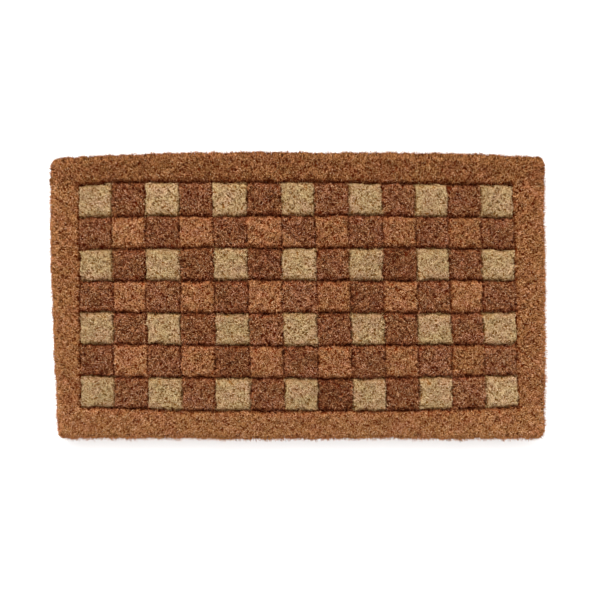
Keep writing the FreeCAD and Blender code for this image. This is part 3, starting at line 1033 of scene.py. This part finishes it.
# %% [markdown]
# ## The weave
#
# The base is a plain weave of doubled yarns. Each weft pair passes over one chain pair and under
# the next, and its neighbour does the opposite. The waves fill the height of the frame's two
# layers, and the yarns sit where the frame's bars are.

# %% Weave the base
WEFT_COUNT, CHAIN_COUNT = 54, 33
WEFT_PITCH, CHAIN_PITCH = CELL_X / 4, CELL_Y / 4
WEAVE_WAVE = 1.85 * MM
WEFT_RADIUS, CHAIN_RADIUS = 2.05 * MM, 1.75 * MM
YARN_STEPS = 4                      # per crossing
YARN_TWIST = 24 * MM
_, weft_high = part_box("weft_yarns")
_, chain_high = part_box("chain_yarns")
MID_HEIGHT = BASE / 2


def woven_path(direction, place, offset, half, cross_pitch, phase):
    """A yarn of the weave, which waves up and down once in every two crossings."""
    steps = math.ceil(2 * half / cross_pitch * YARN_STEPS)
    along = np.linspace(-half, half, steps + 1)
    height = MID_HEIGHT + WEAVE_WAVE * np.cos(math.pi * (along / cross_pitch + phase))
    across = np.full_like(along, place + offset)
    both = (along, across) if direction == "X" else (across, along)
    return np.column_stack([*both, height])


def weave(direction, count, pitch, half, cross_pitch, cross_count, radius, phase):
    """All the yarns of one direction, two by two."""
    steps = len(woven_path(direction, 0, 0, half, cross_pitch, 0)) - 1
    yarn = twisted_strand(steps, 6, 2, 0.22, 2 * half / YARN_TWIST)
    # The crossing yarns are centred on the mat, so the first lies half a count from the middle.
    centre = (cross_count - 1) / 2
    strands = []
    for number in range(count):
        place = (number - (count - 1) / 2) * pitch
        for offset in (-radius, radius):
            path = woven_path(direction, place, offset, half, cross_pitch,
                              phase + number + centre)
            strands.append(bend(yarn, path, radius * 1.04))
    return strands


yarn_rng = np.random.default_rng(40)
weft = weave("Y", WEFT_COUNT, WEFT_PITCH, weft_high[1] + 1 * MM, CHAIN_PITCH, CHAIN_COUNT,
             WEFT_RADIUS, 0)
strand_piece("weft_of_doubled_yarns", weft, "coir_yarn", "weft_yarns", rng=yarn_rng)
chain = weave("X", CHAIN_COUNT, CHAIN_PITCH, chain_high[0], WEFT_PITCH, WEFT_COUNT,
              CHAIN_RADIUS, 1)
strand_piece("chain_of_doubled_yarns", chain, "coir_yarn", "chain_yarns", rng=yarn_rng)

# %% [markdown]
# ## Ropes, plaits and stitches
#
# A thick rope in each long side takes the turns of the weft. At each end the chain turns round
# another rope, and a three-strand plait is whipped to it with light twine. A plait's strands
# follow one wave across and one of half the length up and down, a third of a turn apart.

# %% Lay the ropes
ROPE_TWIST = 30 * MM
PLAIT_PITCH = 19 * MM
PLAIT_TWIST = 14 * MM
TWINE_TWIST = 6 * MM
TWINE_RADIUS = 1.05 * MM
STEP = 1.9 * MM


def level_line(direction, place, half, height):
    """Points of a straight line along X or Y."""
    along = np.linspace(-half, half, math.ceil(2 * half / STEP) + 1)
    across = np.full_like(along, place)
    both = (along, across) if direction == "X" else (across, along)
    return np.column_stack([*both, np.full_like(along, height)])


def lay_rope(node, direction):
    """A three-ply rope in the place of a frame node."""
    low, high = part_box(node)
    centre = (low + high) / 2
    size = high - low
    place, half, wide = (centre[1], size[0] / 2, size[1]) if direction == "X" else (
        centre[0], size[1] / 2, size[0])
    path = level_line(direction, place, half, centre[2])
    rope = twisted_strand(len(path) - 1, 18, 3, 0.38, 2 * half / ROPE_TWIST)
    strand_piece(f"{node}_three_ply", [bend(rope, path, wide / 2, flatten=size[2] / wide)],
                 "coir_rope", node, rng=yarn_rng)


def lay_plait(node):
    """A flat plait of three strands in the place of a frame node."""
    low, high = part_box(node)
    centre = (low + high) / 2
    size = high - low
    radius = size[0] * 0.175
    strands = []
    for strand in range(3):
        line = level_line("Y", centre[0], size[1] / 2, centre[2])
        angle = 2 * math.pi * (line[:, 1] / PLAIT_PITCH + strand / 3)
        line[:, 0] += (size[0] / 2 - radius) * np.sin(angle)
        line[:, 2] += (size[2] / 2 - radius) * np.sin(2 * angle)
        ply = twisted_strand(len(line) - 1, 8, 2, 0.24, size[1] / PLAIT_TWIST)
        strands.append(bend(ply, line, radius * 1.08))
    strand_piece(f"{node}_plait", strands, "coir_rope", node, rng=yarn_rng)


def whip(node):
    """Slanted turns of twine round an end rope and its plait, in one running helix."""
    low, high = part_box(node)
    centre = (low + high) / 2
    size = high - low
    radius = TWINE_RADIUS
    first, last = -size[1] / 2, size[1] / 2
    turns = CHAIN_COUNT - 1
    angle = np.linspace(0, 2 * math.pi * turns, turns * 16 + 1)
    # A squared-off circle lies flat above and below, as twine pulled tight does.
    cos, sin = np.cos(angle), np.sin(angle)
    square = (np.abs(cos) ** 4 + np.abs(sin) ** 4) ** 0.25
    path = np.column_stack([
        centre[0] + (size[0] / 2 - radius) * cos / square,
        first + (last - first) * angle / angle[-1],
        centre[2] + (size[2] / 2 - radius) * sin / square,
    ])
    length = lengths(np.diff(path, axis=0)).sum()
    twine = twisted_strand(len(path) - 1, 6, 2, 0.2, length / TWINE_TWIST)
    # The turns run round Y, so Y is the direction that is never along the twine.
    strand_piece(f"{node}_whipping", [bend(twine, path, radius, upright=(0, 1, 0))], "twine",
                 node, rng=yarn_rng)


for side in ("front", "back"):
    lay_rope(f"{side}_selvedge_rope", "X")
for side in ("left", "right"):
    lay_rope(f"{side}_end_rope", "Y")
    lay_plait(f"{side}_end_braid")
    whip(f"{side}_braid_stitches")

# %% [markdown]
# ## The floor
#
# A plain pale floor catches the soft shadow that sets the mat down. It isn't part of the object.

# %% Lay the floor
floor_mesh = bpy.data.meshes.new("floor")
bm = bmesh.new()
bmesh.ops.create_grid(bm, x_segments=1, y_segments=1, size=6)
bm.to_mesh(floor_mesh)
bm.free()
floor = bpy.data.objects.new("floor", floor_mesh)
scene.collection.objects.link(floor)
floor_finish = Finish("pale_floor")
dust = floor_finish.noise(3.0)
floor_mesh.materials.append(floor_finish.surface(
    Base_Color=(0.92, 0.92, 0.915, 1), Roughness=dust * 0.1 + 0.8))
print("pieces on the floor:", len(PIECE_FACES))

# %% Count the faces
print("faces:", sum(PIECE_FACES.values()))
